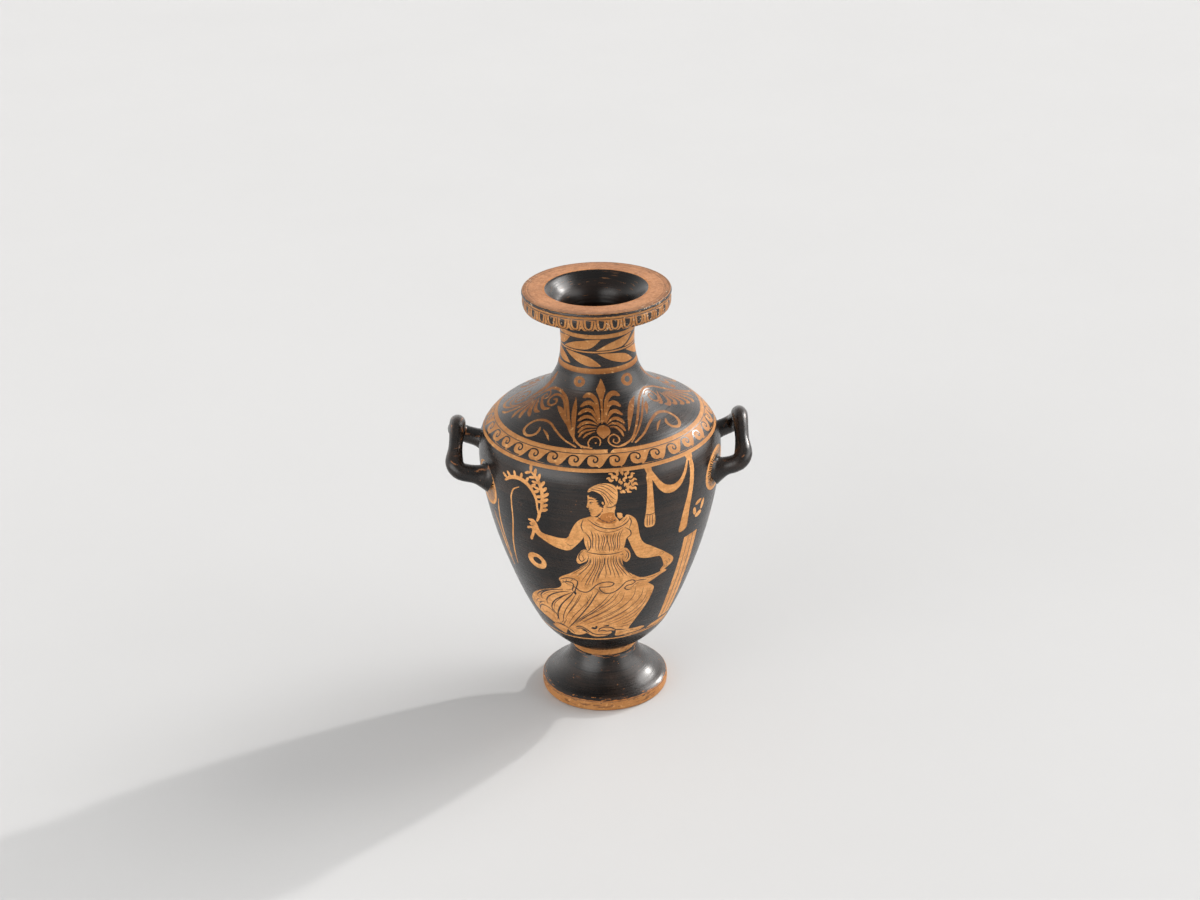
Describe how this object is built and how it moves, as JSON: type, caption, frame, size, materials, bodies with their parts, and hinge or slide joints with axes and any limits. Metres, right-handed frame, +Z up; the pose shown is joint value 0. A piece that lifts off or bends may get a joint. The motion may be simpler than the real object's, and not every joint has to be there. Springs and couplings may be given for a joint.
{
  "type": "hydria",
  "caption": "Painted ceramic hydria: a water jar with a swelling body, turned foot, narrow neck, wide moulded rim, arched side handles and an upright back handle.",
  "frame": {"origin": "centre of the foot's resting ring, on the surface that the jar stands on", "axes": "+Z up along the jar's axis, -Y towards the painted front, +X towards the side handle on the viewer's right"},
  "size_m": [0.2761, 0.22, 0.4],
  "materials": {
    "black_gloss": "satin black slip over orange clay, worn at the edges"
  },
  "bodies": {
    "root": {"hydria": "black_gloss"}
  },
  "joints": []
}
